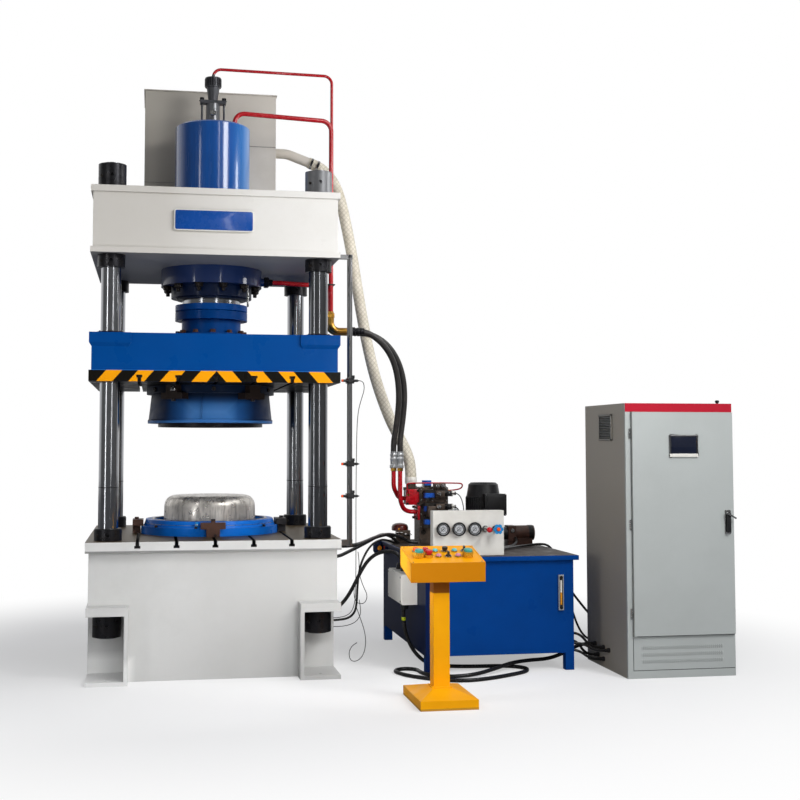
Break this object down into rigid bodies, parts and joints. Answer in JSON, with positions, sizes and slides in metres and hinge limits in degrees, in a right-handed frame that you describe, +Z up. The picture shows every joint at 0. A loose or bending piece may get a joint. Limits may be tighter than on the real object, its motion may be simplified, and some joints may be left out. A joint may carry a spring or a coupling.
{
  "type": "hydraulic press",
  "caption": "Four-column hydraulic deep-drawing press with slide, tooling, overhead oil tank, power unit, push-button pedestal and control cabinet.",
  "frame": {"origin": "on the floor under the ram axis, at the centre of the anchor bolt pattern", "axes": "+Z up along the ram axis, +X to the operator's right towards the power unit, +Y to the rear"},
  "size_m": [4.242, 2.896, 4.291],
  "materials": {
    "bed_paint": "pale blue-grey gloss paint, top plate machined bare",
    "crown_paint": "cream-white gloss paint",
    "hard_chrome": "hard chrome, ground",
    "black_steel": "black oxide steel, oiled",
    "press_blue": "bright blue gloss enamel",
    "navy_paint": "dark navy paint",
    "die_blue": "dark blue paint over machined steel",
    "machined_steel": "turned steel",
    "clamp_brown": "brown primer",
    "pipe_red": "red paint, plated fittings",
    "black_plastic": "black",
    "lid_paint": "dark brown-black paint",
    "bright_aluminium": "bright",
    "light_grey_paint": "light grey powder coat",
    "black_paint": "black paint",
    "dark_steel": "dark phosphated block",
    "coil_blue": "blue coil housings",
    "feed_brown": "brown primer",
    "gauge_chrome": "plated rims",
    "pedestal_yellow": "orange-yellow gloss paint",
    "orange_plastic": "orange",
    "red_plastic": "red",
    "lamp_cyan": "lens, two cyan and two pink",
    "cabinet_grey": "grey textured powder coat",
    "screen_gloss": "dark glossy display",
    "hose_cream": "cream reinforced hose",
    "wheel_blue": "light blue",
    "palm_teal": "teal",
    "collar_gold": "yellow passivated collars",
    "hose_rubber": "black hose cover",
    "cable_rubber": "black cable jacket"
  },
  "bodies": {
    "frame": {"bed": "bed_paint", "crown": "crown_paint", "columns": "hard_chrome", "column_nuts": "black_steel", "main_cylinder": "press_blue", "rod_gland": "navy_paint", "prefill_valve": "machined_steel", "upper_tank": "crown_paint", "blank_holder": "press_blue", "forming_punch": "machined_steel", "bed_clamps": "clamp_brown", "pressure_pipes": "pipe_red", "sensor_pole": "machined_steel", "sensors": "black_plastic", "reservoir": "press_blue", "reservoir_lid": "lid_paint", "level_gauge": "bright_aluminium", "junction_box": "light_grey_paint", "motor": "black_paint", "pump": "black_paint", "valve_manifold": "dark_steel", "control_valves": "coil_blue", "feed_pump": "feed_brown", "gauge_panel": "light_grey_paint", "gauges": "gauge_chrome", "pedestal_stand": "pedestal_yellow", "pedestal_box": "pedestal_yellow", "button_collars": "collar_gold", "pilot_lamps": "lamp_cyan", "cabinet": "cabinet_grey", "cable_glands": "black_plastic", "suction_hose": "hose_cream", "pressure_hose_front": "hose_rubber", "pressure_hose_rear": "hose_rubber", "press_cable": "cable_rubber", "junction_cable": "cable_rubber", "floor_cable": "cable_rubber"},
    "ram": {"slide": "press_blue", "ram": "hard_chrome", "ram_flange": "press_blue", "upper_die": "die_blue", "draw_ring": "black_steel", "die_clamps": "clamp_brown"},
    "cabinet_door": {"cabinet_door": "cabinet_grey", "touch_screen": "screen_gloss"},
    "door_handle": {"door_handle": "black_paint"},
    "motor_rotor": {"motor_rotor": "machined_steel"},
    "gauge_needle_1": {"gauge_needle_1": "black_plastic"},
    "gauge_needle_2": {"gauge_needle_2": "black_plastic"},
    "gauge_needle_3": {"gauge_needle_3": "black_plastic"},
    "relief_knob": {"relief_knob": "gauge_chrome"},
    "shutoff_wheel": {"shutoff_wheel": "wheel_blue"},
    "orange_button": {"orange_button": "orange_plastic"},
    "red_button": {"red_button": "red_plastic"},
    "black_button": {"black_button": "black_plastic"},
    "left_palm_button": {"left_palm_button": "palm_teal"},
    "right_palm_button": {"right_palm_button": "palm_teal"},
    "emergency_stop": {"emergency_stop": "red_plastic"},
    "rear_selector": {"rear_selector": "black_plastic"},
    "front_selector": {"front_selector": "black_plastic"}
  },
  "joints": [
    {"name": "ram_stroke", "type": "slide", "parent": "frame", "child": "ram", "axis": [0, 0, 1], "range_m": [-0.65, 0.03]},
    {"name": "door_hinge", "type": "hinge", "parent": "frame", "child": "cabinet_door", "pos_m": [2.706, -1.265, 1], "axis": [0, 0, -1], "range_deg": [0, 115]},
    {"name": "handle_turn", "type": "hinge", "parent": "cabinet_door", "child": "door_handle", "pos_m": [3.36, -1.27, 1.052], "axis": [0, 1, 0], "range_deg": [0, 90]},
    {"name": "motor_spin", "type": "hinge", "parent": "frame", "child": "motor_rotor", "pos_m": [2.062, 0.12, 1], "axis": [0, 0, 1], "continuous": true},
    {"name": "gauge_needle_1_turn", "type": "hinge", "parent": "frame", "child": "gauge_needle_1", "pos_m": [1.531, -0.811, 0.954], "axis": [0, 1, 0], "range_deg": [0, 270], "stiffness_Nm_per_rad": 0.002},
    {"name": "gauge_needle_2_turn", "type": "hinge", "parent": "frame", "child": "gauge_needle_2", "pos_m": [1.641, -0.811, 0.954], "axis": [0, 1, 0], "range_deg": [0, 270], "stiffness_Nm_per_rad": 0.002},
    {"name": "gauge_needle_3_turn", "type": "hinge", "parent": "frame", "child": "gauge_needle_3", "pos_m": [1.751, -0.811, 0.954], "axis": [0, 1, 0], "range_deg": [0, 270], "stiffness_Nm_per_rad": 0.002},
    {"name": "relief_knob_turn", "type": "hinge", "parent": "frame", "child": "relief_knob", "pos_m": [1.826, -0.85, 0.954], "axis": [0, 1, 0], "range_deg": [-720, 720]},
    {"name": "shutoff_wheel_turn", "type": "hinge", "parent": "frame", "child": "shutoff_wheel", "pos_m": [1.9, -0.85, 0.954], "axis": [0, 1, 0], "range_deg": [0, 1080]},
    {"name": "orange_button_press", "type": "slide", "parent": "frame", "child": "orange_button", "axis": [0, 0.2251, -0.9743], "range_m": [0, 0.005], "stiffness_N_per_m": 500, "springref_m": -0.012},
    {"name": "red_button_press", "type": "slide", "parent": "frame", "child": "red_button", "axis": [0, 0.2251, -0.9743], "range_m": [0, 0.005], "stiffness_N_per_m": 500, "springref_m": -0.012},
    {"name": "black_button_press", "type": "slide", "parent": "frame", "child": "black_button", "axis": [0, 0.2251, -0.9743], "range_m": [0, 0.005], "stiffness_N_per_m": 500, "springref_m": -0.012},
    {"name": "left_palm_button_press", "type": "slide", "parent": "frame", "child": "left_palm_button", "axis": [0, 0.2251, -0.9743], "range_m": [0, 0.005], "stiffness_N_per_m": 500, "springref_m": -0.012},
    {"name": "right_palm_button_press", "type": "slide", "parent": "frame", "child": "right_palm_button", "axis": [0, 0.2251, -0.9743], "range_m": [0, 0.005], "stiffness_N_per_m": 500, "springref_m": -0.012},
    {"name": "emergency_stop_press", "type": "slide", "parent": "frame", "child": "emergency_stop", "axis": [0, 0.2251, -0.9743], "range_m": [0, 0.005]},
    {"name": "rear_selector_turn", "type": "hinge", "parent": "frame", "child": "rear_selector", "pos_m": [1.458, -1.65618, 0.87924], "axis": [0, -0.2251, 0.9743], "range_deg": [-45, 45]},
    {"name": "front_selector_turn", "type": "hinge", "parent": "frame", "child": "front_selector", "pos_m": [1.338, -1.75069, 0.85741], "axis": [0, -0.2251, 0.9743], "range_deg": [-45, 45]}
  ]
}
